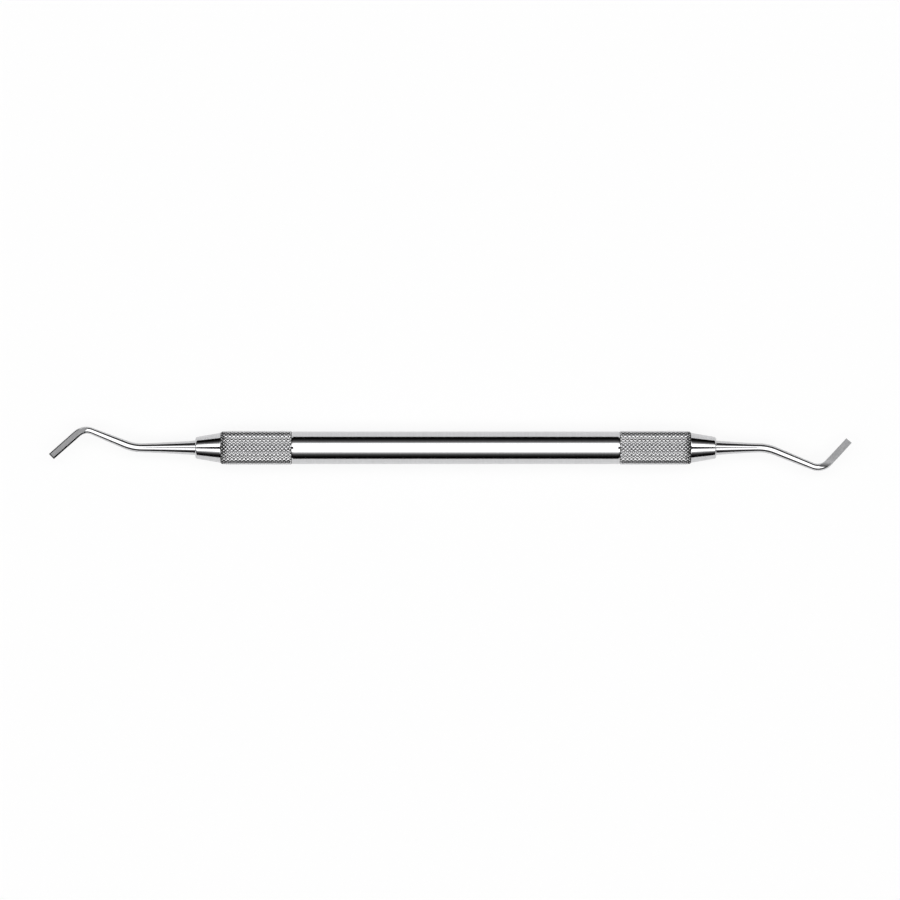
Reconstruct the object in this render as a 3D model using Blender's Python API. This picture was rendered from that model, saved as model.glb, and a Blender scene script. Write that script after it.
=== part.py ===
"""Double-ended dental hatchet: a knurled steel handle with a bent, flat-bladed tip in each end.

The instrument lies on its side on the plane z = 0. Its handle runs along X, the bends of both tips
lie in one horizontal plane, and the origin is under the middle of its length. Lengths are in metres.
"""

import math

import bmesh
import bpy
from mathutils import Matrix, Vector

# Handle: grips, plain middle, cones and bores
HANDLE_LENGTH = 0.0970          # between the two shoulders where the knurling ends
KNURL_DIAMETER = 0.0070         # over the diamond points
KNURL_DEPTH = 0.00025
KNURL_TEETH = 30                # diamonds around the handle
KNURL_PITCH = 0.00083           # length of one diamond along the handle
GRIP_LENGTH = 0.0147            # knurled stretch at each end
GRIP_CHAMFER = 0.0003           # length of the bevel at both ends of a grip
GRIP_END_DROP = 0.00015         # how much lower the diamonds are beside the shoulder
GRIP_END_RUN = 0.0020           # over this length
BAND_DIAMETER = 0.0067          # plain middle of the handle
CONE_BASE_DIAMETER = 0.0062
CONE_NOSE_DIAMETER = 0.0044
CONE_LENGTH = 0.0052
NOSE_EDGE_RADIUS = 0.00045
NOSE_EDGE_STEPS = 3

# Seat of a tip in its bore
SHANK_DIAMETER = 0.0030         # tang and root of the shank
TANG_LENGTH = 0.0100
TANG_CHAMFER = 0.0003
SEAT_CLEARANCE = 0.0001         # between tang and bore, all round
BORE_END_CLEARANCE = 0.0003     # between the tang's end and the full depth of the bore
BORE_MOUTH_CHAMFER = 0.00012
DRILL_POINT_ANGLE = math.radians(118)
BORE_SEGMENTS = 24

# Shank and blade, the same on both tips
ROD_SEGMENTS = 24
SHANK_TAPER_POWER = 1.5         # the shank slims quickly beside the cone and slowly beside the bend
SHANK_STEPS = 4
FIRST_BEND_DIAMETER = 0.00180
FIRST_BEND_RADIUS = 0.0095
FIRST_BEND_STEPS = 4
SECOND_BEND_RADIUS = 0.0030
SECOND_BEND_STEPS = 9
BLADE_WIDTH = 0.00156           # at the heel, beside the second bend
BLADE_END_WIDTH = 0.00146
FRONT_FLAT_HEEL = 0.00052       # height of the front face over the blade's axis, at the heel
FRONT_FLAT_END = 0.00030        # and at the cutting end
FRONT_HEEL_SETBACK = 0.0014     # from the corner of the second bend to where the face is full
FRONT_RUNOUT_LENGTH = 0.0040    # over which it runs out towards the shank
FRONT_RUNOUT_RADIUS = 0.040     # in this curve
FRONT_INNER_LIMIT = 0.00072     # it stops at this distance from the blade's axis, at the inner side
BACK_FLAT_HEEL = 0.00030        # depth of the back face under the blade's axis, at the heel
BACK_FLAT_END = 0.00012         # and at the cutting end
BACK_HEEL_SETBACK = 0.0029
BACK_RUNOUT_LENGTH = 0.0026
BACK_RUNOUT_RADIUS = 0.0056
BACK_RUNOUT_TURN = math.radians(38)     # it reaches farther back at the inner side
BACK_INNER_LIMIT = 0.0016       # as far as this from the blade's axis
FLAT_RUNOUT_STEPS = 4
EDGE_BEVEL_ANGLE = math.radians(55)
EDGE_SKEW = math.radians(3)     # the outer corner of the cutting edge leads by this angle
EDGE_LAND = 0.00003             # flat left on the cutting edge
EDGE_TRIM = 0.0002              # length of rod that is cut off the end with the bevel
SIDE_BEVEL_ANGLE = math.radians(40)
INNER_BEVEL_WIDTH = 0.00033     # ground along the front face's edge, on the side of the handle
OUTER_BEVEL_WIDTH = 0.00025     # and on the other side
SIDE_BEVEL_RISE = 0.00012       # by which these bevels rise round the bend, to run out at the neck

# Left tip
LEFT_SHANK_LENGTH = 0.01282     # nose of the cone to the corner of the first bend
LEFT_NECK_LENGTH = 0.01101      # corner of the first bend to corner of the second
LEFT_BLADE_LENGTH = 0.00894     # corner of the second bend to the cutting edge
LEFT_NECK_ANGLE = math.radians(22.0)
LEFT_BLADE_ANGLE = math.radians(41.5)
LEFT_NECK_DIAMETER = 0.00139    # where the neck meets the second bend

# Right tip
RIGHT_SHANK_LENGTH = 0.01053
RIGHT_NECK_LENGTH = 0.01216
RIGHT_BLADE_LENGTH = 0.00827
RIGHT_NECK_ANGLE = math.radians(22.1)
RIGHT_BLADE_ANGLE = math.radians(47.2)
RIGHT_NECK_DIAMETER = 0.00148

SMOOTH_ANGLE = math.radians(25)


def remove_all_objects():
    """Empties the scene."""
    for item in list(bpy.data.objects):
        bpy.data.objects.remove(item, do_unlink=True)


def steel(name, colour, roughness):
    """A stainless steel material."""
    material = bpy.data.materials.new(name)
    material.use_nodes = True
    shader = material.node_tree.nodes["Principled BSDF"]
    shader.inputs["Base Color"].default_value = (*colour, 1.0)
    shader.inputs["Metallic"].default_value = 1.0
    shader.inputs["Roughness"].default_value = roughness
    return material


def object_from(bm, name, material=None):
    """Makes an object of a bmesh, smooth where its faces meet at a small angle."""
    bmesh.ops.recalc_face_normals(bm, faces=bm.faces)
    mesh = bpy.data.meshes.new(name)
    bm.to_mesh(mesh)
    bm.free()
    mesh.shade_smooth()
    mesh.set_sharp_from_angle(angle=SMOOTH_ANGLE)
    if material:
        mesh.materials.append(material)
    item = bpy.data.objects.new(name, mesh)
    bpy.context.scene.collection.objects.link(item)
    return item


def cut_with(item, cutter):
    """Cuts a closed cutter out of an object with a Boolean."""
    cutter.hide_render = True
    cutter.display_type = "WIRE"
    modifier = item.modifiers.new(cutter.name, "BOOLEAN")
    modifier.operation = "DIFFERENCE"
    modifier.solver = "EXACT"
    modifier.object = cutter


def bridge(bm, ring, next_ring):
    """Joins two rings of equal count with quads."""
    for i in range(len(ring)):
        j = (i + 1) % len(ring)
        bm.faces.new([ring[i], ring[j], next_ring[j], next_ring[i]])


def bridge_diamonds(bm, ring, next_ring, row):
    """Joins two knurled rings with triangles whose diagonals follow the grooves."""
    for i in range(len(ring)):
        j = (i + 1) % len(ring)
        if (i + row) % 2 == 0:
            bm.faces.new([ring[i], ring[j], next_ring[i]])
            bm.faces.new([ring[j], next_ring[j], next_ring[i]])
        else:
            bm.faces.new([ring[i], ring[j], next_ring[j]])
            bm.faces.new([ring[i], next_ring[j], next_ring[i]])


def bridge_double(bm, ring, double_ring):
    """Joins a ring to one that has two points for each of its own."""
    for i in range(len(ring)):
        j = (i + 1) % len(ring)
        bm.faces.new([ring[i], double_ring[2 * i], double_ring[2 * i + 1]])
        bm.faces.new([ring[i], double_ring[2 * i + 1], double_ring[2 * j], ring[j]])


def turned(name, profile, segments):
    """A solid turned about X from points (x, radius); a radius of zero closes an end in a point."""
    bm = bmesh.new()
    rings = []
    for x, radius in profile:
        if radius == 0:
            rings.append([bm.verts.new((x, 0, 0))])
            continue
        turns = [math.tau * k / segments for k in range(segments)]
        rings.append([bm.verts.new((x, radius * math.cos(a), radius * math.sin(a))) for a in turns])
    for ring, next_ring in zip(rings, rings[1:]):
        if len(next_ring) == 1:
            for i in range(segments):
                bm.faces.new([ring[i], ring[(i + 1) % segments], next_ring[0]])
        else:
            bridge(bm, ring, next_ring)
    for ring in (rings[0], rings[-1]):
        if len(ring) > 1:
            bm.faces.new(ring)
    return object_from(bm, name)


def lofted(name, sections, placement):
    """A cutter that joins outlines of equal count and is closed by the first and the last."""
    bm = bmesh.new()
    rings = [[bm.verts.new(point) for point in section] for section in sections]
    for ring, next_ring in zip(rings, rings[1:]):
        bridge(bm, ring, next_ring)
    bm.faces.new(rings[0])
    bm.faces.new(rings[-1])
    bmesh.ops.transform(bm, matrix=placement, verts=bm.verts)
    return object_from(bm, name)


# Handle

COLUMNS = 2 * KNURL_TEETH
COLUMN_ANGLE = math.tau / COLUMNS
AXIS_HEIGHT = KNURL_DIAMETER / 2 * math.cos(COLUMN_ANGLE / 2)
BORE_DEPTH = TANG_LENGTH + BORE_END_CLEARANCE


def tip_reach(shank_length, neck_length, neck_angle, blade_length, blade_angle):
    """How far a tip reaches along X from the nose of its cone, to the outer corner of its blade."""
    half_width = BLADE_END_WIDTH / 2
    neck = neck_length * math.cos(neck_angle)
    outer_length = blade_length + half_width * math.tan(EDGE_SKEW)
    blade = outer_length * math.cos(blade_angle) + half_width * math.sin(blade_angle)
    return shank_length + neck + blade


LEFT_REACH = tip_reach(
    LEFT_SHANK_LENGTH, LEFT_NECK_LENGTH, LEFT_NECK_ANGLE, LEFT_BLADE_LENGTH, LEFT_BLADE_ANGLE)
RIGHT_REACH = tip_reach(
    RIGHT_SHANK_LENGTH, RIGHT_NECK_LENGTH, RIGHT_NECK_ANGLE, RIGHT_BLADE_LENGTH, RIGHT_BLADE_ANGLE)
HANDLE_CENTRE = (LEFT_REACH - RIGHT_REACH) / 2
NOSE_REACH = HANDLE_LENGTH / 2 + CONE_LENGTH


def knurl_rows():
    """Rows of one grip from its shoulder inwards: (distance from shoulder, radius of the points)."""
    knurled = GRIP_LENGTH - 2 * GRIP_CHAMFER
    half_pitches = 2 * max(1, round(knurled / KNURL_PITCH))
    rows = []
    for row in range(half_pitches + 1):
        distance = GRIP_CHAMFER + knurled * row / half_pitches
        nearness = max(0.0, 1 - distance / GRIP_END_RUN)
        rows.append((distance, KNURL_DIAMETER / 2 - GRIP_END_DROP * nearness ** 2))
    return rows


def cone_profile():
    """Rings of one cone, from the flat of its nose to its base: (distance inwards, radius)."""
    slope = math.atan2((CONE_BASE_DIAMETER - CONE_NOSE_DIAMETER) / 2, CONE_LENGTH)
    centre_radius = CONE_NOSE_DIAMETER / 2 - NOSE_EDGE_RADIUS * math.tan((math.pi / 2 - slope) / 2)
    profile = []
    for step in range(NOSE_EDGE_STEPS + 1):
        turn = (math.pi / 2 - slope) * step / NOSE_EDGE_STEPS
        inwards = NOSE_EDGE_RADIUS * (1 - math.cos(turn))
        profile.append((inwards, centre_radius + NOSE_EDGE_RADIUS * math.sin(turn)))
    profile.append((CONE_LENGTH, CONE_BASE_DIAMETER / 2))
    return profile


def handle_ring(bm, x, point_radius, groove_radius=None, row=0):
    """A ring round the handle's axis.

    A plain ring has a point for each diamond. A knurled ring has two, in turn on a diamond's point
    and in a groove, and the next row has them the other way round.
    """
    ring = []
    for column in range(COLUMNS):
        if groove_radius is None and column % 2 == 1:
            continue
        angle = -math.pi / 2 + (column + 0.5) * COLUMN_ANGLE
        low = groove_radius is not None and (column + row) % 2 == 1
        radius = groove_radius if low else point_radius
        ring.append(bm.verts.new((x, radius * math.cos(angle), radius * math.sin(angle))))
    return ring


def handle_end(bm, side):
    """Cone, shoulder and grip of one end; returns the ring where the plain middle starts."""
    nose = side * NOSE_REACH
    shoulder = side * HANDLE_LENGTH / 2
    rings = [handle_ring(bm, nose - side * inwards, radius) for inwards, radius in cone_profile()]
    bm.faces.new(rings[0])
    for ring, next_ring in zip(rings, rings[1:]):
        bridge(bm, ring, next_ring)
    low = KNURL_DIAMETER / 2 - KNURL_DEPTH
    foot = low - GRIP_END_DROP
    outer_foot = handle_ring(bm, shoulder, foot, foot)
    bridge_double(bm, rings[-1], outer_foot)
    rows = []
    for row, (distance, radius) in enumerate(knurl_rows()):
        rows.append(handle_ring(bm, shoulder - side * distance, radius, radius - KNURL_DEPTH, row))
    bridge_diamonds(bm, outer_foot, rows[0], 1)
    for row, (ring, next_ring) in enumerate(zip(rows, rows[1:])):
        bridge_diamonds(bm, ring, next_ring, row)
    inner_foot = handle_ring(bm, shoulder - side * GRIP_LENGTH, low, low)
    bridge_diamonds(bm, rows[-1], inner_foot, len(rows) - 1)
    middle = handle_ring(bm, shoulder - side * (GRIP_LENGTH + GRIP_CHAMFER), BAND_DIAMETER / 2)
    bridge_double(bm, middle, inner_foot)
    return middle


def bore_cutter(name, side):
    """The drill that makes one blind bore: a countersunk mouth, a plain wall and a drill point."""
    radius = SHANK_DIAMETER / 2 + SEAT_CLEARANCE
    mouth = radius + BORE_MOUTH_CHAMFER
    overrun = NOSE_EDGE_RADIUS
    point = radius / math.tan(DRILL_POINT_ANGLE / 2)
    profile = [
        (overrun, mouth + overrun),
        (-BORE_MOUTH_CHAMFER, radius),
        (-BORE_DEPTH, radius),
        (-BORE_DEPTH - point, 0),
    ]
    drill = turned(name, profile, BORE_SEGMENTS)
    drill.location = (HANDLE_CENTRE + side * NOSE_REACH, 0, AXIS_HEIGHT)
    drill.rotation_euler = (0, 0, 0 if side > 0 else math.pi)
    return drill


def build_handle():
    """The turned and knurled bar with its two blind bores."""
    bm = bmesh.new()
    bridge(bm, handle_end(bm, -1), handle_end(bm, 1))
    handle = object_from(bm, "handle", steel("turned steel", (0.60, 0.60, 0.61), 0.12))
    handle.location = (HANDLE_CENTRE, 0, AXIS_HEIGHT)
    cut_with(handle, bore_cutter("left_drill", -1))
    cut_with(handle, bore_cutter("right_drill", 1))
    return handle


# Tips

def rod_stations(shank_length, neck_length, neck_angle, blade_length, blade_angle, neck_diameter):
    """Centre, direction and radius along a tip, from the tang's end to the end of the blade.

    The nose of the cone is at x = 0, the rod leaves along +X, the neck rises towards +Y by its angle
    and the blade falls back by the sum of both angles.
    """
    turn = neck_angle + blade_angle
    first_tangent = FIRST_BEND_RADIUS * math.tan(neck_angle / 2)
    second_tangent = SECOND_BEND_RADIUS * math.tan(turn / 2)
    root = SHANK_DIAMETER / 2
    bend = FIRST_BEND_DIAMETER / 2
    neck = neck_diameter / 2
    heel = BLADE_WIDTH / 2
    stations = [
        (Vector((-TANG_LENGTH, 0, 0)), 0.0, root - TANG_CHAMFER),
        (Vector((TANG_CHAMFER - TANG_LENGTH, 0, 0)), 0.0, root),
    ]
    straight = shank_length - first_tangent
    for step in range(SHANK_STEPS):
        x = straight * step / SHANK_STEPS
        radius = bend + (root - bend) * (1 - x / shank_length) ** SHANK_TAPER_POWER
        stations.append((Vector((x, 0, 0)), 0.0, radius))
    bend_start = bend + (root - bend) * (first_tangent / shank_length) ** SHANK_TAPER_POWER
    place = Vector((straight, 0, 0))
    for step in range(FIRST_BEND_STEPS + 1):
        share = step / FIRST_BEND_STEPS
        angle = neck_angle * share
        offset = Vector((math.sin(angle), 1 - math.cos(angle), 0)) * FIRST_BEND_RADIUS
        stations.append((place + offset, angle, bend_start + (bend - bend_start) * share))
    corner = Vector((shank_length, 0, 0))
    neck_direction = Vector((math.cos(neck_angle), math.sin(neck_angle), 0))
    place = corner + neck_direction * (neck_length - second_tangent)
    for step in range(SECOND_BEND_STEPS + 1):
        share = step / SECOND_BEND_STEPS
        swept = turn * share
        along = SECOND_BEND_RADIUS * math.sin(swept)
        aside = SECOND_BEND_RADIUS * (1 - math.cos(swept))
        offset = neck_direction * along + Vector((neck_direction.y, -neck_direction.x, 0)) * aside
        stations.append((place + offset, neck_angle - swept, neck + (heel - neck) * share))
    corner = corner + neck_direction * neck_length
    blade_direction = Vector((math.cos(blade_angle), -math.sin(blade_angle), 0))
    uncut_end = corner + blade_direction * (blade_length + EDGE_TRIM)
    stations.append((uncut_end, -blade_angle, BLADE_END_WIDTH / 2))
    return stations, corner


def rod(name, stations, material):
    """A round rod swept through the stations."""
    bm = bmesh.new()
    rings = []
    for centre, angle, radius in stations:
        aside = Vector((-math.sin(angle), math.cos(angle), 0))
        up = Vector((0, 0, 1))
        ring = []
        for k in range(ROD_SEGMENTS):
            turn = math.tau * k / ROD_SEGMENTS
            ring.append(bm.verts.new(centre + (aside * math.cos(turn) + up * math.sin(turn)) * radius))
        rings.append(ring)
    for ring, next_ring in zip(rings, rings[1:]):
        bridge(bm, ring, next_ring)
    bm.faces.new(rings[0])
    bm.faces.new(rings[-1])
    return object_from(bm, name, material)


def front_height(blade_length, x):
    """Height of the front face over the blade's axis, at a distance along the blade."""
    slope = (FRONT_FLAT_HEEL - FRONT_FLAT_END) / (blade_length - FRONT_HEEL_SETBACK)
    back = max(0.0, FRONT_HEEL_SETBACK - x)
    straight = FRONT_FLAT_HEEL - slope * (x - FRONT_HEEL_SETBACK)
    return straight + back ** 2 / (2 * FRONT_RUNOUT_RADIUS)


def back_height(blade_length, x):
    """Depth of the back face under the blade's axis, at a distance along the blade."""
    slope = (BACK_FLAT_HEEL - BACK_FLAT_END) / (blade_length - BACK_HEEL_SETBACK)
    back = max(0.0, BACK_HEEL_SETBACK - x)
    straight = BACK_FLAT_HEEL - slope * (x - BACK_HEEL_SETBACK)
    return straight + back ** 2 / (2 * BACK_RUNOUT_RADIUS)


def face_outline(height, blade_length, setback, runout_length):
    """What is ground off over a face, seen from the side, from its runout to past the end."""
    reach = 2 * BLADE_WIDTH
    places = []
    for step in range(FLAT_RUNOUT_STEPS + 1):
        places.append(setback - runout_length * (1 - step / FLAT_RUNOUT_STEPS))
    places.append(blade_length + BLADE_WIDTH)
    outline = [(x, height(blade_length, x)) for x in places]
    return outline + [(places[-1], reach), (places[0], reach)]


def front_cutter(name, blade_length, z_side, placement):
    """Grinds the front face, which stops short at the inner side of the second bend."""
    outline = face_outline(front_height, blade_length, FRONT_HEEL_SETBACK, FRONT_RUNOUT_LENGTH)
    sides = (-FRONT_INNER_LIMIT, 2 * BLADE_WIDTH)
    sections = [[(x, y, z * z_side) for x, z in outline] for y in sides]
    return lofted(name, sections, placement)


def back_cutter(name, blade_length, z_side, placement):
    """Grinds the back face, which runs out obliquely."""
    outline = face_outline(back_height, blade_length, BACK_HEEL_SETBACK, BACK_RUNOUT_LENGTH)
    sections = []
    for y in (-BACK_INNER_LIMIT, 2 * BLADE_WIDTH):
        shift = y * math.tan(BACK_RUNOUT_TURN)
        sections.append([(x + shift, y, z * z_side) for x, z in outline])
    return lofted(name, sections, placement)


def side_bevel_cutter(name, stations, blade_length, y_side, z_side, width, placement):
    """Grinds a bevel along one side of the front face, round the second bend and past the end."""
    reach = 2 * BLADE_WIDTH
    drop = width * math.tan(SIDE_BEVEL_ANGLE)
    along_blade = placement.inverted()
    end, angle, radius = stations[-1]
    past_end = end + placement.to_3x3() @ Vector((BLADE_WIDTH, 0, 0))
    sections = []
    for step, station in enumerate(stations[-2 - SECOND_BEND_STEPS:] + [(past_end, angle, radius)]):
        centre, angle, radius = station
        aside = Vector((-math.sin(angle), math.cos(angle), 0)) * y_side
        foot = along_blade @ (centre + aside * (radius - width))
        share_back = max(0.0, 1 - step / SECOND_BEND_STEPS)
        z = front_height(blade_length, foot.x) + SIDE_BEVEL_RISE * share_back ** 2
        outline = [
            (radius - 2 * width, z + drop),
            (radius + width, z - 2 * drop),
            (radius + width, reach),
            (radius - 2 * width, reach),
        ]
        sections.append([centre + aside * y + Vector((0, 0, up * z_side)) for y, up in outline])
    return lofted(name, sections, Matrix())


def edge_cutter(name, z_side, placement):
    """Grinds the skewed bevel of the cutting end; x = 0 is at the cutting edge."""
    reach = 2 * BLADE_WIDTH
    edge = BACK_FLAT_END - EDGE_LAND
    run = (reach + edge) / math.tan(EDGE_BEVEL_ANGLE)
    outline = [(0, -reach), (0, -edge), (-run, reach), (reach, reach), (reach, -reach)]
    sections = [[(x, y, z * z_side) for x, z in outline] for y in (-reach, reach)]
    return lofted(name, sections, placement @ Matrix.Rotation(-EDGE_SKEW, 4, "Z"))


def blade_cutters(name, stations, corner, blade_length, blade_angle, bevel_side):
    """Grinding cuts of one blade: its faces, the side bevels of its front and its cutting end.

    bevel_side is 1 where the front face and the bevels look towards +Z, and -1 where towards -Z.
    """
    placement = Matrix.Translation(corner) @ Matrix.Rotation(-blade_angle, 4, "Z")
    cutting_end = placement @ Matrix.Translation((blade_length, 0, 0))
    return [
        front_cutter(name + "_front_grind", blade_length, bevel_side, placement),
        back_cutter(name + "_back_grind", blade_length, -bevel_side, placement),
        side_bevel_cutter(name + "_inner_grind", stations, blade_length, -1, bevel_side,
                          INNER_BEVEL_WIDTH, placement),
        side_bevel_cutter(name + "_outer_grind", stations, blade_length, 1, bevel_side,
                          OUTER_BEVEL_WIDTH, placement),
        edge_cutter(name + "_edge_grind", bevel_side, cutting_end),
    ]


def build_tip(name, lengths, material, bevel_side, place, rotation):
    """One tip: its rod, ground to a blade, turned to its end of the handle."""
    blade_length, blade_angle = lengths[3:5]
    stations, corner = rod_stations(*lengths)
    tip = rod(name, stations, material)
    tip.location = place
    tip.rotation_euler = rotation
    for cutter in blade_cutters(name, stations, corner, blade_length, blade_angle, bevel_side):
        cutter.parent = tip
        cut_with(tip, cutter)
    return tip


def build_tips():
    """Both tips; they are of opposite hand, so one shows its bevels where the other shows its back."""
    material = steel("ground steel", (0.56, 0.56, 0.57), 0.20)
    left = (LEFT_SHANK_LENGTH, LEFT_NECK_LENGTH, LEFT_NECK_ANGLE,
            LEFT_BLADE_LENGTH, LEFT_BLADE_ANGLE, LEFT_NECK_DIAMETER)
    right = (RIGHT_SHANK_LENGTH, RIGHT_NECK_LENGTH, RIGHT_NECK_ANGLE,
             RIGHT_BLADE_LENGTH, RIGHT_BLADE_ANGLE, RIGHT_NECK_DIAMETER)
    left_nose = (HANDLE_CENTRE - NOSE_REACH, 0, AXIS_HEIGHT)
    right_nose = (HANDLE_CENTRE + NOSE_REACH, 0, AXIS_HEIGHT)
    build_tip("left_tip", left, material, -1, left_nose, (0, math.pi, 0))
    build_tip("right_tip", right, material, 1, right_nose, (math.pi, 0, 0))


remove_all_objects()
build_handle()
build_tips()
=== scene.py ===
import math

import bmesh
import bpy
from mathutils import Matrix, Vector


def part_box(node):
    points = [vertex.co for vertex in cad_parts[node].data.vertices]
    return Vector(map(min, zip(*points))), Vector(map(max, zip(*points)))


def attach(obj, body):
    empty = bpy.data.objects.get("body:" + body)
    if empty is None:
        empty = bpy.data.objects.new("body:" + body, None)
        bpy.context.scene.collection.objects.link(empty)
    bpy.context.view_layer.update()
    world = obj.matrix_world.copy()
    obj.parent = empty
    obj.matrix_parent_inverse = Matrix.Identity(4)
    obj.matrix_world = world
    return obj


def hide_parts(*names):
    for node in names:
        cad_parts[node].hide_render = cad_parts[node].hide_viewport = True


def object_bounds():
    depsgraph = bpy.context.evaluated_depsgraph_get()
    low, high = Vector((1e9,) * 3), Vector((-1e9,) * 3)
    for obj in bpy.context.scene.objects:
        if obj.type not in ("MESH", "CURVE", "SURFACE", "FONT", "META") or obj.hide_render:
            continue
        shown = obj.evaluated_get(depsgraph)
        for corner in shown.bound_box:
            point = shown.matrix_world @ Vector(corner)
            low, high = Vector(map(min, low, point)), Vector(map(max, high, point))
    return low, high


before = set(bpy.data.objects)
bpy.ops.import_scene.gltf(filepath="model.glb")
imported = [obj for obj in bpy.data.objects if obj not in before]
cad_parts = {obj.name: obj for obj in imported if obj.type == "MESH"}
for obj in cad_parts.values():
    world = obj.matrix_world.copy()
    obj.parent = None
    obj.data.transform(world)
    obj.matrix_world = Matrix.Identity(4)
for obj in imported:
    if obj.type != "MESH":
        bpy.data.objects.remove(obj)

cad_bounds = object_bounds()

# Sizes of the handle, in metres, as the frame has them
KNURL_DIAMETER = 0.0070
KNURL_DEPTH = 0.00025
KNURL_TEETH = 30
KNURL_PITCHES = 17              # diamonds along each grip
GRIP_LENGTH = 0.0147
GRIP_CHAMFER = 0.0003
GRIP_END_DROP = 0.00015
GRIP_END_RUN = 0.0020
BAND_DIAMETER = 0.0067
CONE_BASE_DIAMETER = 0.0062
CONE_NOSE_DIAMETER = 0.0044
CONE_LENGTH = 0.0052
NOSE_EDGE_RADIUS = 0.00045
NOSE_EDGE_STEPS = 12
EDGE_SUPPORT = 0.00008          # distance of the rings that keep the shading of long cones straight
SHANK_DIAMETER = 0.0030
SEAT_CLEARANCE = 0.0001
BORE_DEPTH = 0.0103
BORE_MOUTH_CHAMFER = 0.00012
DRILL_POINT_ANGLE = math.radians(118)

# One diamond from its middle (0) to the crossing of two grooves (1): share of the way, and drop
# below the top as a share of the knurl's depth. The top is worn to a shallow slope.
DIAMOND_PROFILE = [(0.0, 0.0), (0.30, 0.09), (0.93, 0.80), (1.0, 0.83)]

# Sizes of the tips
TANG_LENGTH = 0.0100
TANG_CHAMFER = 0.0003
ROD_SEGMENTS = 72
SHANK_TAPER_POWER = 1.5
SHANK_STEPS = 12
FIRST_BEND_DIAMETER = 0.00180
FIRST_BEND_RADIUS = 0.0095
FIRST_BEND_STEPS = 16
SECOND_BEND_RADIUS = 0.0030
SECOND_BEND_STEPS = 32
BLADE_WIDTH = 0.00156
BLADE_END_WIDTH = 0.00146
FRONT_FLAT_HEEL = 0.00052
FRONT_FLAT_END = 0.00030
FRONT_HEEL_SETBACK = 0.0014
FRONT_RUNOUT_LENGTH = 0.0040
FRONT_RUNOUT_RADIUS = 0.040
FRONT_INNER_LIMIT = 0.00072
BACK_FLAT_HEEL = 0.00030
BACK_FLAT_END = 0.00012
BACK_HEEL_SETBACK = 0.0029
BACK_RUNOUT_LENGTH = 0.0026
BACK_RUNOUT_RADIUS = 0.0056
BACK_RUNOUT_TURN = math.radians(38)
BACK_INNER_LIMIT = 0.0016
FLAT_RUNOUT_STEPS = 16
EDGE_BEVEL_ANGLE = math.radians(55)
EDGE_SKEW = math.radians(3)
EDGE_LAND = 0.00003
EDGE_TRIM = 0.0002
SIDE_BEVEL_ANGLE = math.radians(40)
INNER_BEVEL_WIDTH = 0.00033
OUTER_BEVEL_WIDTH = 0.00025
SIDE_BEVEL_RISE = 0.00012
LEFT_TIP = dict(shank=0.01282, neck=0.01101, blade=0.00894, neck_angle=math.radians(22.0),
                blade_angle=math.radians(41.5), neck_diameter=0.00139)
RIGHT_TIP = dict(shank=0.01053, neck=0.01216, blade=0.00827, neck_angle=math.radians(22.1),
                 blade_angle=math.radians(47.2), neck_diameter=0.00148)

KNURL_FULL_SHADE_DROP = 0.78          # share of the knurl's depth from which the steel is roughest and painted shade makes its colour near black
KNURL_SHADE_START_DROP = 0.55        # and down to which it is smoothest and keeps its light colour
GRAIN_LOW = 0.3                 # noise values that count as its darkest and lightest
GRAIN_HIGH = 0.7

SMOOTH_ANGLE = math.radians(25)
SEAM_GAP = 3e-8                 # corners closer than this are one corner

# Studio
CAMERA_DISTANCE = 1.5
PICTURE_SIZE = 900
OBJECT_LEFT_PIXEL = 48.9
OBJECT_RIGHT_PIXEL = 851.7
AXIS_PIXEL = 447.8              # row of the handle's axis in the picture
SENSOR_WIDTH = 36.0
CLIP_NEAR = 0.01
CLIP_FAR = 50
FLOOR_RADIUS = 8.0
FLOOR_SEGMENTS = 96
FLOOR_COLOUR = 0.92
FLOOR_GLOW_SHARE = 0.88         # how much of the floor is plain white to the camera
METAL_GLOW_SHARE = 0.3          # and in the metal, which shows more of the shadow on it
HORIZON_GLOW = 0.07             # height of the pale backdrop round the floor, as the sine of its angle
HORIZON_FADE = 1.2              # how far over that height it is gone
ROOM_GLOW = 0.003               # brightness of the dark room above it
PANEL_HEIGHT = 2.0
PANEL_REACH = 66                # degrees from straight up that the panels reach along the handle
PANEL_RADIANCE = 2.7
# Each panel in strips that fade to both sides: degrees from straight up and share of the brightness
PANEL_STRIPS = [(9.0, 10.5, 0.16), (10.5, 28, 1.0), (28, 31, 0.66), (31, 35, 0.38), (35, 39, 0.22),
                (39, 43, 0.12), (43, 50, 0.05), (50, 60, 0.016)]
# The bright patch round the camera, along the handle: degrees to each side and radiance
CAMERA_GLOW_STRIPS = [(0, 6.0, 2.4), (6.0, 7.0, 1.1), (7.0, 7.8, 0.4)]

handle_low, handle_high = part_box("handle")
handle_centre = (handle_low + handle_high) / 2
AXIS_HEIGHT = KNURL_DIAMETER / 2 * math.cos(math.pi / (2 * KNURL_TEETH))
NOSE_REACH = (handle_high.x - handle_low.x) / 2
SHOULDER_REACH = NOSE_REACH - CONE_LENGTH


# Materials

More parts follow.
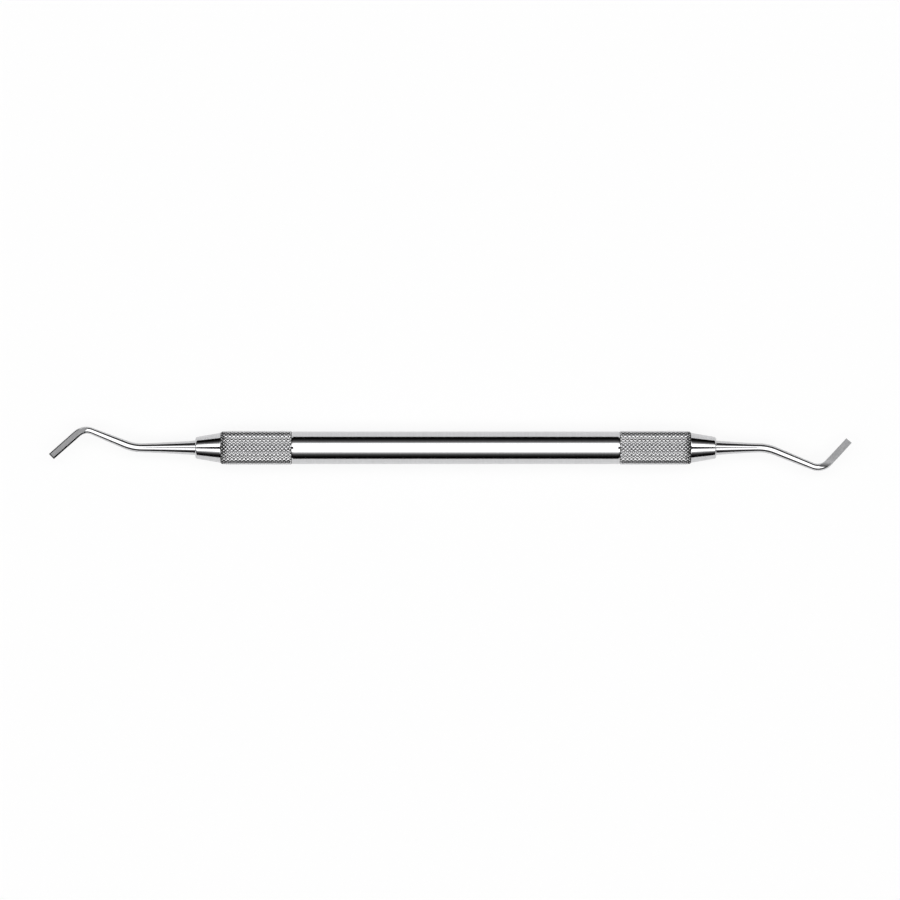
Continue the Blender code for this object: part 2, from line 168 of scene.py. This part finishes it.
class Nodes:
    """A short way to add and join the nodes of one material."""

    def __init__(self, name):
        self.material = bpy.data.materials.new(name)
        self.material.use_nodes = True
        self.tree = self.material.node_tree
        self.shader = self.tree.nodes["Principled BSDF"]
        self.place = self.add("ShaderNodeTexCoord").outputs["Object"]

    def add(self, kind, **settings):
        node = self.tree.nodes.new(kind)
        for key, value in settings.items():
            if key in node.inputs:
                node.inputs[key].default_value = value
            else:
                setattr(node, key, value)
        return node

    def join(self, source, target):
        self.tree.links.new(source, target)

    def grain(self, size, turn=0.0, detail=3.0):
        """Noise of the given size in metres along each axis, after a turn about Z."""
        mapping = self.add("ShaderNodeMapping", vector_type="TEXTURE")
        mapping.inputs["Rotation"].default_value = (0, 0, turn)
        mapping.inputs["Scale"].default_value = size
        self.join(self.place, mapping.inputs["Vector"])
        noise = self.add("ShaderNodeTexNoise", Scale=1.0, Detail=detail)
        self.join(mapping.outputs["Vector"], noise.inputs["Vector"])
        return noise.outputs["Fac"]

    def spread(self, value, low, high):
        """Maps a noise value from its usual range to another."""
        spread = self.add("ShaderNodeMapRange")
        spread.inputs["From Min"].default_value = GRAIN_LOW
        spread.inputs["From Max"].default_value = GRAIN_HIGH
        spread.inputs["To Min"].default_value = low
        spread.inputs["To Max"].default_value = high
        self.join(value, spread.inputs["Value"])
        return spread.outputs["Result"]

    def tint(self, value, dark, light):
        """A colour between two others."""
        mix = self.add("ShaderNodeMix", data_type="RGBA")
        colours = [socket for socket in mix.inputs if socket.type == "RGBA"]
        colours[0].default_value = (*dark, 1)
        colours[1].default_value = (*light, 1)
        self.join(value, mix.inputs["Factor"])
        return [socket for socket in mix.outputs if socket.type == "RGBA"][0]

    def bump(self, value, strength, distance):
        bump = self.add("ShaderNodeBump", Strength=strength, Distance=distance)
        self.join(value, bump.inputs["Height"])
        self.join(bump.outputs["Normal"], self.shader.inputs["Normal"])


def steel(name, dark, light, smooth, rough, grain_size, grain_turn=0.0, strength=0.1, depth=2e-6):
    """Stainless steel with fine marks of its finishing in one direction."""
    nodes = Nodes(name)
    nodes.shader.inputs["Metallic"].default_value = 1.0
    marks = nodes.grain(grain_size, grain_turn)
    nodes.join(nodes.tint(nodes.spread(marks, 0, 1), dark, light), nodes.shader.inputs["Base Color"])
    nodes.join(nodes.spread(marks, smooth, rough), nodes.shader.inputs["Roughness"])
    nodes.bump(marks, strength, depth)
    return nodes.material


def turned_steel():
    """The cones and the plain middle: polished in the lathe, so the marks run round them."""
    return steel("turned_steel", dark=(0.56, 0.56, 0.57), light=(0.62, 0.62, 0.63),
                 smooth=0.07, rough=0.11, grain_size=(0.00012, 0.008, 0.008), strength=0.03)


def knurled_steel():
    """The diamonds: worn smooth on top, rougher down in the grooves, where painted shade darkens the
    colour to near black.
    """
    nodes = Nodes("knurled_steel")
    nodes.shader.inputs["Metallic"].default_value = 1.0
    split = nodes.add("ShaderNodeSeparateXYZ")
    nodes.join(nodes.place, split.inputs["Vector"])
    height = nodes.add("ShaderNodeMath", operation="SUBTRACT")
    nodes.join(split.outputs["Z"], height.inputs[0])
    height.inputs[1].default_value = AXIS_HEIGHT
    flat = nodes.add("ShaderNodeCombineXYZ")
    nodes.join(split.outputs["Y"], flat.inputs["Y"])
    nodes.join(height.outputs[0], flat.inputs["Z"])
    length = nodes.add("ShaderNodeVectorMath", operation="LENGTH")
    nodes.join(flat.outputs[0], length.inputs[0])
    depth = nodes.add("ShaderNodeMapRange")
    depth.inputs["From Min"].default_value = KNURL_DIAMETER / 2 - KNURL_DEPTH * KNURL_FULL_SHADE_DROP
    depth.inputs["From Max"].default_value = KNURL_DIAMETER / 2 - KNURL_DEPTH * KNURL_SHADE_START_DROP
    nodes.join(length.outputs["Value"], depth.inputs["Value"])
    # Painted shade: the colour goes from light steel on the tops to near black down in the grooves.
    colour = nodes.tint(depth.outputs["Result"], dark=(0.04, 0.04, 0.04), light=(0.66, 0.66, 0.67))
    nodes.join(colour, nodes.shader.inputs["Base Color"])
    rough = nodes.add("ShaderNodeMapRange")
    rough.inputs["To Min"].default_value = 0.35
    rough.inputs["To Max"].default_value = 0.20
    nodes.join(depth.outputs["Result"], rough.inputs["Value"])
    nodes.join(rough.outputs["Result"], nodes.shader.inputs["Roughness"])
    nodes.bump(nodes.grain((0.00015, 0.00015, 0.00015), detail=4.0), strength=0.08, distance=2e-6)
    return nodes.material


def bore_steel():
    """The drilled bores, seen only as a dark ring round each shank: rougher steel, with painted shade
    that darkens its colour inside the bore.
    """
    return steel("bored_steel", dark=(0.20, 0.20, 0.21), light=(0.30, 0.30, 0.31),
                 smooth=0.35, rough=0.5, grain_size=(0.00015, 0.003, 0.003))


def shank_steel():
    """The round shanks: polished along their length."""
    return steel("polished_shank_steel", dark=(0.56, 0.56, 0.57), light=(0.62, 0.62, 0.63),
                 smooth=0.07, rough=0.11, grain_size=(0.004, 0.0002, 0.0002), strength=0.03)


def ground_steel(name, turn):
    """The ground faces of a blade: satin, with the wheel's fine lines along the blade."""
    return steel(name, dark=(0.205, 0.205, 0.209), light=(0.27, 0.27, 0.275),
                 smooth=0.34, rough=0.40, grain_size=(0.003, 0.00008, 0.00008), grain_turn=turn,
                 strength=0.05)


def bevelled_steel():
    """The narrow side bevels: ground finer than the faces."""
    return steel("bevelled_steel", dark=(0.40, 0.40, 0.41), light=(0.46, 0.46, 0.47),
                 smooth=0.12, rough=0.18, grain_size=(0.0006, 0.0006, 0.0006), strength=0.03)


def shaded_end_steel():
    """The steep bevel of a cutting end: somewhat rough, with painted shade that makes its colour near
    black.
    """
    # Painted shade: a near-black colour in place of the steel's own.
    return steel("shaded_end_steel", dark=(0.04, 0.04, 0.042), light=(0.06, 0.06, 0.062),
                 smooth=0.30, rough=0.36, grain_size=(0.0004, 0.0004, 0.0004), strength=0.03)


# Handle

def grip_radius(distance, drop_share):
    """Radius in a grip at a distance from its shoulder, for a share of the knurl's depth."""
    nearness = max(0.0, 1 - distance / GRIP_END_RUN)
    return KNURL_DIAMETER / 2 - GRIP_END_DROP * nearness ** 2 - KNURL_DEPTH * drop_share


def column_angle(column):
    """Angle of a knurl column round the axis; the first two lie evenly beside the lowest line."""
    return -math.pi / 2 + (column + 0.5) * math.pi / KNURL_TEETH


class Lathe:
    """Builds the handle's mesh from rings round its axis and from knurled diamonds."""

    def __init__(self, bm):
        self.bm = bm
        self.known = {}

    def point(self, x, angle, radius):
        place = (handle_centre.x + x, radius * math.cos(angle), AXIS_HEIGHT + radius * math.sin(angle))
        return self.bm.verts.new(place)

    def ring(self, x, radius):
        """A plain ring with the same angles as the points round a grip's end."""
        ring = []
        for tooth in range(KNURL_TEETH):
            column = 2 * tooth
            for share, _ in DIAMOND_PROFILE:
                ring.append(self.point(x, column_angle(column + share), radius))
            for share, _ in DIAMOND_PROFILE[-2:0:-1]:
                ring.append(self.point(x, column_angle(column + 2 - share), radius))
        return ring

    def arm(self, side, column, row, across, along):
        """Points from the middle of a diamond to one of the four crossings round it."""
        pitch = (GRIP_LENGTH - 2 * GRIP_CHAMFER) / (2 * KNURL_PITCHES)
        points = []
        for step, (share, drop) in enumerate(DIAMOND_PROFILE):
            if step == 0:
                key = (side, column % (2 * KNURL_TEETH), row)
            elif step == len(DIAMOND_PROFILE) - 1:
                key = (side, (column + across) % (2 * KNURL_TEETH), row + along)
            else:
                key = (side, column % (2 * KNURL_TEETH), row, across, along, step)
            if key not in self.known:
                distance = GRIP_CHAMFER + (row + share * along) * pitch
                x = side * (SHOULDER_REACH - distance)
                angle = column_angle(column + share * across)
                self.known[key] = self.point(x, angle, grip_radius(distance, drop))
            points.append(self.known[key])
        return points

    def quarter(self, first, second):
        """One quarter of a diamond, between two of its arms."""
        faces = [self.bm.faces.new([first[0], first[1], second[1]])]
        for step in range(1, len(first) - 1):
            corners = [first[step], first[step + 1], second[step + 1], second[step]]
            faces.append(self.bm.faces.new(corners))
        for face in faces:
            face.material_index = 1

    def grip(self, side):
        """All diamonds of one grip."""
        for row in range(2 * KNURL_PITCHES):
            for column in range(2 * KNURL_TEETH):
                if (column + row) % 2 == 0:
                    corners = [(column, row, 1, 1), (column + 1, row + 1, -1, -1)]
                else:
                    corners = [(column + 1, row, -1, 1), (column, row + 1, 1, -1)]
                for peak_column, peak_row, across, along in corners:
                    first = self.arm(side, peak_column, peak_row, across, 0)
                    second = self.arm(side, peak_column, peak_row, 0, along)
                    self.quarter(first, second)

    def grip_edge(self, side, row):
        """The ring of points along one end of a grip."""
        ring = []
        for tooth in range(KNURL_TEETH):
            ring += self.arm(side, 2 * tooth, row, 1, 0)
            ring += self.arm(side, 2 * tooth + 2, row, -1, 0)[-2:0:-1]
        return ring

    def band(self, ring, next_ring, material_index=0):
        """Faces between two rings."""
        for k in range(len(ring)):
            n = (k + 1) % len(ring)
            face = self.bm.faces.new([ring[k], ring[n], next_ring[n], next_ring[k]])
            face.material_index = material_index

    def cone(self, side):
        """Rings from the flat of the nose over its rounded edge to the cone's base."""
        slope = math.atan2((CONE_BASE_DIAMETER - CONE_NOSE_DIAMETER) / 2, CONE_LENGTH)
        arc_centre = CONE_NOSE_DIAMETER / 2 - NOSE_EDGE_RADIUS * math.tan((math.pi / 2 - slope) / 2)
        profile = []
        for step in range(NOSE_EDGE_STEPS + 1):
            turn = (math.pi / 2 - slope) * step / NOSE_EDGE_STEPS
            inwards = NOSE_EDGE_RADIUS * (1 - math.cos(turn))
            profile.append((inwards, arc_centre + NOSE_EDGE_RADIUS * math.sin(turn)))
        edge_end, edge_radius = profile[-1]
        base_radius = CONE_BASE_DIAMETER / 2
        for inwards in (edge_end + EDGE_SUPPORT, CONE_LENGTH - EDGE_SUPPORT, CONE_LENGTH):
            share = (inwards - edge_end) / (CONE_LENGTH - edge_end)
            profile.append((inwards, edge_radius + (base_radius - edge_radius) * share))
        return [self.ring(side * (NOSE_REACH - inwards), radius) for inwards, radius in profile]

    def half(self, side):
        """One end of the handle, from the drill point in its bore to its plain middle."""
        bore = SHANK_DIAMETER / 2 + SEAT_CLEARANCE
        point = bore / math.tan(DRILL_POINT_ANGLE / 2)
        deepest = self.point(side * (NOSE_REACH - BORE_DEPTH - point), 0, 0)
        wall = [self.ring(side * (NOSE_REACH - BORE_DEPTH), bore),
                self.ring(side * (NOSE_REACH - BORE_MOUTH_CHAMFER), bore),
                self.ring(side * NOSE_REACH, bore + BORE_MOUTH_CHAMFER)]
        for k in range(len(wall[0])):
            face = self.bm.faces.new([deepest, wall[0][k], wall[0][(k + 1) % len(wall[0])]])
            face.material_index = 2
        self.band(wall[0], wall[1], 2)
        self.band(wall[1], wall[2], 2)
        low = KNURL_DIAMETER / 2 - KNURL_DEPTH
        outside = [wall[2]] + self.cone(side)
        outside.append(self.ring(side * SHOULDER_REACH, low - GRIP_END_DROP))
        for ring, next_ring in zip(outside, outside[1:]):
            self.band(ring, next_ring)
        self.band(outside[-1], self.grip_edge(side, 0), 1)
        self.grip(side)
        inner = self.ring(side * (SHOULDER_REACH - GRIP_LENGTH), low)
        self.band(self.grip_edge(side, 2 * KNURL_PITCHES), inner, 1)
        start = SHOULDER_REACH - GRIP_LENGTH - GRIP_CHAMFER
        middle = self.ring(side * start, BAND_DIAMETER / 2)
        support = self.ring(side * (start - EDGE_SUPPORT), BAND_DIAMETER / 2)
        self.band(inner, middle)
        self.band(middle, support)
        return support


def piece_from(bm, name, materials):
    """Makes a scene piece of a bmesh, smooth where its faces meet at a small angle."""
    bmesh.ops.recalc_face_normals(bm, faces=bm.faces)
    mesh = bpy.data.meshes.new(name)
    bm.to_mesh(mesh)
    bm.free()
    mesh.shade_smooth()
    mesh.set_sharp_from_angle(angle=SMOOTH_ANGLE)
    for material in materials:
        mesh.materials.append(material)
    piece = bpy.data.objects.new(name, mesh)
    bpy.context.scene.collection.objects.link(piece)
    return piece


def build_handle():
    """The whole handle as one closed mesh."""
    bm = bmesh.new()
    lathe = Lathe(bm)
    left = lathe.half(-1)
    right = lathe.half(1)
    lathe.band(left, right)
    piece = piece_from(bm, "turned_handle", [turned_steel(), knurled_steel(), bore_steel()])
    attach(piece, "root")
    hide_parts("handle")


# Tips

def rod_stations(tip):
    """Centre, direction and radius along a tip, from the tang's end to past the cutting end.

    The nose of the cone is at x = 0, the rod leaves along +X, the neck rises towards +Y and the
    blade falls back.
    """
    neck_angle = tip["neck_angle"]
    turn = neck_angle + tip["blade_angle"]
    first_tangent = FIRST_BEND_RADIUS * math.tan(neck_angle / 2)
    second_tangent = SECOND_BEND_RADIUS * math.tan(turn / 2)
    root = SHANK_DIAMETER / 2
    bend = FIRST_BEND_DIAMETER / 2
    neck = tip["neck_diameter"] / 2
    heel = BLADE_WIDTH / 2
    stations = [
        (Vector((-TANG_LENGTH, 0, 0)), 0.0, root - TANG_CHAMFER),
        (Vector((TANG_CHAMFER - TANG_LENGTH, 0, 0)), 0.0, root),
    ]
    straight = tip["shank"] - first_tangent
    for step in range(SHANK_STEPS):
        x = straight * step / SHANK_STEPS
        radius = bend + (root - bend) * (1 - x / tip["shank"]) ** SHANK_TAPER_POWER
        stations.append((Vector((x, 0, 0)), 0.0, radius))
    bend_start = bend + (root - bend) * (first_tangent / tip["shank"]) ** SHANK_TAPER_POWER
    place = Vector((straight, 0, 0))
    for step in range(FIRST_BEND_STEPS + 1):
        share = step / FIRST_BEND_STEPS
        angle = neck_angle * share
        offset = Vector((math.sin(angle), 1 - math.cos(angle), 0)) * FIRST_BEND_RADIUS
        stations.append((place + offset, angle, bend_start + (bend - bend_start) * share))
    corner = Vector((tip["shank"], 0, 0))
    direction = Vector((math.cos(neck_angle), math.sin(neck_angle), 0))
    place = corner + direction * (tip["neck"] - second_tangent)
    aside = Vector((direction.y, -direction.x, 0))
    for step in range(SECOND_BEND_STEPS + 1):
        share = step / SECOND_BEND_STEPS
        swept = turn * share
        offset = direction * math.sin(swept) + aside * (1 - math.cos(swept))
        radius = neck + (heel - neck) * share
        stations.append((place + offset * SECOND_BEND_RADIUS, neck_angle - swept, radius))
    corner = corner + direction * tip["neck"]
    blade_angle = tip["blade_angle"]
    direction = Vector((math.cos(blade_angle), -math.sin(blade_angle), 0))
    end = corner + direction * (tip["blade"] + EDGE_TRIM)
    stations.append((end, -blade_angle, BLADE_END_WIDTH / 2))
    return stations, corner


def rod(name, stations, materials):
    """A round rod swept through the stations."""
    bm = bmesh.new()
    rings = []
    for centre, angle, radius in stations:
        aside = Vector((-math.sin(angle), math.cos(angle), 0))
        ring = []
        for k in range(ROD_SEGMENTS):
            turn = math.tau * k / ROD_SEGMENTS
            spoke = aside * math.cos(turn) + Vector((0, 0, math.sin(turn)))
            ring.append(bm.verts.new(centre + spoke * radius))
        rings.append(ring)
    for ring, next_ring in zip(rings, rings[1:]):
        for k in range(ROD_SEGMENTS):
            n = (k + 1) % ROD_SEGMENTS
            bm.faces.new([ring[k], ring[n], next_ring[n], next_ring[k]])
    bm.faces.new(rings[0])
    bm.faces.new(rings[-1])
    return piece_from(bm, name, materials)


def front_height(blade_length, x):
    """Height of the front face over the blade's axis, at a distance along the blade."""
    slope = (FRONT_FLAT_HEEL - FRONT_FLAT_END) / (blade_length - FRONT_HEEL_SETBACK)
    back = max(0.0, FRONT_HEEL_SETBACK - x)
    straight = FRONT_FLAT_HEEL - slope * (x - FRONT_HEEL_SETBACK)
    return straight + back ** 2 / (2 * FRONT_RUNOUT_RADIUS)


def back_height(blade_length, x):
    """Depth of the back face under the blade's axis, at a distance along the blade."""
    slope = (BACK_FLAT_HEEL - BACK_FLAT_END) / (blade_length - BACK_HEEL_SETBACK)
    back = max(0.0, BACK_HEEL_SETBACK - x)
    straight = BACK_FLAT_HEEL - slope * (x - BACK_HEEL_SETBACK)
    return straight + back ** 2 / (2 * BACK_RUNOUT_RADIUS)


def lofted(name, sections, placement, material):
    """A cutter that joins outlines of equal count and is closed by the first and the last."""
    bm = bmesh.new()
    rings = [[bm.verts.new(point) for point in section] for section in sections]
    for ring, next_ring in zip(rings, rings[1:]):
        for k in range(len(ring)):
            n = (k + 1) % len(ring)
            bm.faces.new([ring[k], ring[n], next_ring[n], next_ring[k]])
    bm.faces.new(rings[0])
    bm.faces.new(rings[-1])
    bmesh.ops.transform(bm, matrix=placement, verts=bm.verts)
    return piece_from(bm, name, [material])


def face_outline(height, blade_length, setback, runout_length):
    """What is ground off over a face, seen from the side, from its runout to past the end."""
    reach = 2 * BLADE_WIDTH
    places = []
    for step in range(FLAT_RUNOUT_STEPS + 1):
        places.append(setback - runout_length * (1 - step / FLAT_RUNOUT_STEPS))
    places.append(blade_length + BLADE_WIDTH)
    outline = [(x, height(blade_length, x)) for x in places]
    return outline + [(places[-1], reach), (places[0], reach)]


def front_cutter(blade_length, z_side, placement, material):
    """Grinds the front face, which stops short at the inner side of the second bend."""
    outline = face_outline(front_height, blade_length, FRONT_HEEL_SETBACK, FRONT_RUNOUT_LENGTH)
    sides = (-FRONT_INNER_LIMIT, 2 * BLADE_WIDTH)
    sections = [[(x, y, z * z_side) for x, z in outline] for y in sides]
    return lofted("front_grind", sections, placement, material)


def back_cutter(blade_length, z_side, placement, material):
    """Grinds the back face, which runs out obliquely."""
    outline = face_outline(back_height, blade_length, BACK_HEEL_SETBACK, BACK_RUNOUT_LENGTH)
    sections = []
    for y in (-BACK_INNER_LIMIT, 2 * BLADE_WIDTH):
        shift = y * math.tan(BACK_RUNOUT_TURN)
        sections.append([(x + shift, y, z * z_side) for x, z in outline])
    return lofted("back_grind", sections, placement, material)


def side_bevel_cutter(stations, blade_length, y_side, z_side, width, placement, material):
    """Grinds a bevel along one side of the front face, round the second bend and past the end."""
    reach = 2 * BLADE_WIDTH
    drop = width * math.tan(SIDE_BEVEL_ANGLE)
    along_blade = placement.inverted()
    end, angle, radius = stations[-1]
    past_end = end + placement.to_3x3() @ Vector((BLADE_WIDTH, 0, 0))
    sections = []
    for step, station in enumerate(stations[-2 - SECOND_BEND_STEPS:] + [(past_end, angle, radius)]):
        centre, angle, radius = station
        aside = Vector((-math.sin(angle), math.cos(angle), 0)) * y_side
        foot = along_blade @ (centre + aside * (radius - width))
        share_back = max(0.0, 1 - step / SECOND_BEND_STEPS)
        z = front_height(blade_length, foot.x) + SIDE_BEVEL_RISE * share_back ** 2
        outline = [
            (radius - 2 * width, z + drop),
            (radius + width, z - 2 * drop),
            (radius + width, reach),
            (radius - 2 * width, reach),
        ]
        sections.append([centre + aside * y + Vector((0, 0, up * z_side)) for y, up in outline])
    return lofted("side_grind", sections, Matrix(), material)


def edge_cutter(z_side, placement, material):
    """Grinds the skewed bevel of the cutting end; x = 0 is at the cutting edge."""
    reach = 2 * BLADE_WIDTH
    edge = BACK_FLAT_END - EDGE_LAND
    run = (reach + edge) / math.tan(EDGE_BEVEL_ANGLE)
    outline = [(0, -reach), (0, -edge), (-run, reach), (reach, reach), (reach, -reach)]
    sections = [[(x, y, z * z_side) for x, z in outline] for y in (-reach, reach)]
    return lofted("edge_grind", sections, placement @ Matrix.Rotation(-EDGE_SKEW, 4, "Z"), material)


def blade_cutters(tip, stations, corner, bevel_side, face_material, bevel_material, end_material):
    """Cuts that make a blade's faces, the side bevels of its front and its cutting end."""
    length = tip["blade"]
    placement = Matrix.Translation(corner) @ Matrix.Rotation(-tip["blade_angle"], 4, "Z")
    cutting_end = placement @ Matrix.Translation((length, 0, 0))
    return [
        front_cutter(length, bevel_side, placement, face_material),
        back_cutter(length, -bevel_side, placement, face_material),
        side_bevel_cutter(stations, length, -1, bevel_side, INNER_BEVEL_WIDTH, placement,
                          bevel_material),
        side_bevel_cutter(stations, length, 1, bevel_side, OUTER_BEVEL_WIDTH, placement,
                          bevel_material),
        edge_cutter(bevel_side, cutting_end, end_material),
    ]


def grind(piece, cutters):
    """Cuts the cutters out of the piece for good, one after another, and removes them."""
    for cutter in cutters:
        modifier = piece.modifiers.new(cutter.name, "BOOLEAN")
        modifier.operation = "DIFFERENCE"
        modifier.solver = "EXACT"
        modifier.material_mode = "TRANSFER"
        modifier.object = cutter
        graph = bpy.context.evaluated_depsgraph_get()
        mesh = bpy.data.meshes.new_from_object(piece.evaluated_get(graph))
        piece.modifiers.clear()
        piece.data = mesh
        bpy.data.objects.remove(cutter)
        bm = bmesh.new()
        bm.from_mesh(mesh)
        bmesh.ops.remove_doubles(bm, verts=bm.verts, dist=SEAM_GAP)
        bmesh.ops.dissolve_degenerate(bm, edges=bm.edges, dist=SEAM_GAP)
        bm.to_mesh(mesh)
        bm.free()
    for polygon in piece.data.polygons:
        if polygon.material_index > 0:
            polygon.use_smooth = False


def build_tip(name, node, tip, side, bevel_side, rotation, shank_material, bevel_material,
              end_material):
    """One tip: its rod, ground to a blade, turned to its end of the handle."""
    stations, corner = rod_stations(tip)
    angle = tip["blade_angle"]
    blade_direction = rotation @ Vector((math.cos(angle), -math.sin(angle), 0))
    face_material = ground_steel("satin_" + node, math.atan2(blade_direction.y, blade_direction.x))
    piece = rod(name, stations, [shank_material])
    grind(piece, blade_cutters(tip, stations, corner, bevel_side, face_material, bevel_material,
                               end_material))
    nose = Vector((handle_centre.x + side * NOSE_REACH, 0, AXIS_HEIGHT))
    piece.data.transform(Matrix.Translation(nose) @ rotation)
    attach(piece, "root")
    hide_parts(node)


def build_tips():
    """Both tips, of opposite hand."""
    shank_material = shank_steel()
    bevel_material = bevelled_steel()
    end_material = shaded_end_steel()
    build_tip("ground_left_tip", "left_tip", LEFT_TIP, -1, -1, Matrix.Rotation(math.pi, 4, "Y"),
              shank_material, bevel_material, end_material)
    build_tip("ground_right_tip", "right_tip", RIGHT_TIP, 1, 1, Matrix.Rotation(math.pi, 4, "X"),
              shank_material, bevel_material, end_material)


# Studio

def combined(tree, operation, first, second):
    """The result of a math node on a socket and another socket or a value."""
    node = tree.nodes.new("ShaderNodeMath")
    node.operation = operation
    tree.links.new(first, node.inputs[0])
    if isinstance(second, float):
        node.inputs[1].default_value = second
    else:
        tree.links.new(second, node.inputs[1])
    return node.outputs[0]


def floor_paint():
    """White paint, part of which is plain white to the camera and in the metal."""
    material = bpy.data.materials.new("floor_white")
    material.use_nodes = True
    tree = material.node_tree
    tree.nodes.clear()
    output = tree.nodes.new("ShaderNodeOutputMaterial")
    paint = tree.nodes.new("ShaderNodeBsdfDiffuse")
    paint.inputs["Color"].default_value = (FLOOR_COLOUR, FLOOR_COLOUR, FLOOR_COLOUR, 1)
    glow = tree.nodes.new("ShaderNodeEmission")
    glow.inputs["Color"].default_value = (1, 1, 1, 1)
    path = tree.nodes.new("ShaderNodeLightPath").outputs
    seen = combined(tree, "MAXIMUM", path["Is Camera Ray"], path["Is Transmission Ray"])
    seen_share = combined(tree, "MULTIPLY", seen, FLOOR_GLOW_SHARE)
    metal_share = combined(tree, "MULTIPLY", path["Is Glossy Ray"], METAL_GLOW_SHARE)
    mix = tree.nodes.new("ShaderNodeMixShader")
    tree.links.new(combined(tree, "MAXIMUM", seen_share, metal_share), mix.inputs["Fac"])
    tree.links.new(paint.outputs[0], mix.inputs[1])
    tree.links.new(glow.outputs[0], mix.inputs[2])
    tree.links.new(mix.outputs[0], output.inputs["Surface"])
    return material


def build_floor():
    """A plain white table top, which keeps the object's shadow."""
    bm = bmesh.new()
    bmesh.ops.create_circle(bm, cap_ends=True, segments=FLOOR_SEGMENTS, radius=FLOOR_RADIUS)
    mesh = bpy.data.meshes.new("floor")
    bm.to_mesh(mesh)
    bm.free()
    mesh.materials.append(floor_paint())
    floor = bpy.data.objects.new("floor", mesh)
    bpy.context.scene.collection.objects.link(floor)


def build_lamp(name, low, high, radiance):
    """A flat lamp overhead between two corners (x, y), of an even brightness."""
    light = bpy.data.lights.new(name, "AREA")
    light.shape = "RECTANGLE"
    light.size = high[0] - low[0]
    light.size_y = high[1] - low[1]
    light.energy = radiance * math.pi * light.size * light.size_y
    lamp = bpy.data.objects.new(name, light)
    lamp.location = ((low[0] + high[0]) / 2, (low[1] + high[1]) / 2, PANEL_HEIGHT)
    bpy.context.scene.collection.objects.link(lamp)


def build_lights():
    """Two long soft panels overhead that fade outwards, and a bright patch between them."""
    def reach(degrees):
        return PANEL_HEIGHT * math.tan(math.radians(degrees))

    length = reach(PANEL_REACH)
    for inner, outer, share in PANEL_STRIPS:
        radiance = PANEL_RADIANCE * share
        build_lamp("far_panel", (-length, reach(inner)), (length, reach(outer)), radiance)
        build_lamp("near_panel", (-length, -reach(outer)), (length, -reach(inner)), radiance)
    gap = reach(PANEL_STRIPS[0][0])
    for inner, outer, radiance in CAMERA_GLOW_STRIPS:
        build_lamp("left_glow", (-reach(outer), -gap), (-reach(inner), gap), radiance)
        build_lamp("right_glow", (reach(inner), -gap), (reach(outer), gap), radiance)


def build_world():
    """A dark room with a low pale backdrop all round the floor."""
    world = bpy.data.worlds.new("studio")
    world.use_nodes = True
    tree = world.node_tree
    direction = tree.nodes.new("ShaderNodeTexCoord")
    split = tree.nodes.new("ShaderNodeSeparateXYZ")
    edge = tree.nodes.new("ShaderNodeMapRange")
    edge.inputs["From Min"].default_value = HORIZON_GLOW
    edge.inputs["From Max"].default_value = HORIZON_GLOW * HORIZON_FADE
    edge.inputs["To Min"].default_value = 1.0
    edge.inputs["To Max"].default_value = ROOM_GLOW
    tree.links.new(direction.outputs["Generated"], split.inputs["Vector"])
    tree.links.new(split.outputs["Z"], edge.inputs["Value"])
    tree.links.new(edge.outputs["Result"], tree.nodes["Background"].inputs["Color"])
    bpy.context.scene.world = world


def build_camera():
    """Looks straight down, so the picture shows the plane in which the tips are bent."""
    low, high = cad_bounds
    per_pixel = (high.x - low.x) / (OBJECT_RIGHT_PIXEL - OBJECT_LEFT_PIXEL)
    middle_pixel = (OBJECT_LEFT_PIXEL + OBJECT_RIGHT_PIXEL) / 2
    middle_x = (low.x + high.x) / 2 + (PICTURE_SIZE / 2 - middle_pixel) * per_pixel
    middle_y = (AXIS_PIXEL - PICTURE_SIZE / 2) * per_pixel
    data = bpy.data.cameras.new("camera")
    data.sensor_width = SENSOR_WIDTH
    data.lens = SENSOR_WIDTH * CAMERA_DISTANCE / (PICTURE_SIZE * per_pixel)
    data.clip_start = CLIP_NEAR
    data.clip_end = CLIP_FAR
    camera = bpy.data.objects.new("camera", data)
    camera.location = (middle_x, middle_y, AXIS_HEIGHT + CAMERA_DISTANCE)
    bpy.context.scene.collection.objects.link(camera)
    bpy.context.scene.camera = camera


build_camera()
build_handle()
build_tips()
build_floor()
build_lights()
build_world()
bpy.context.scene.view_settings.view_transform = "Standard"
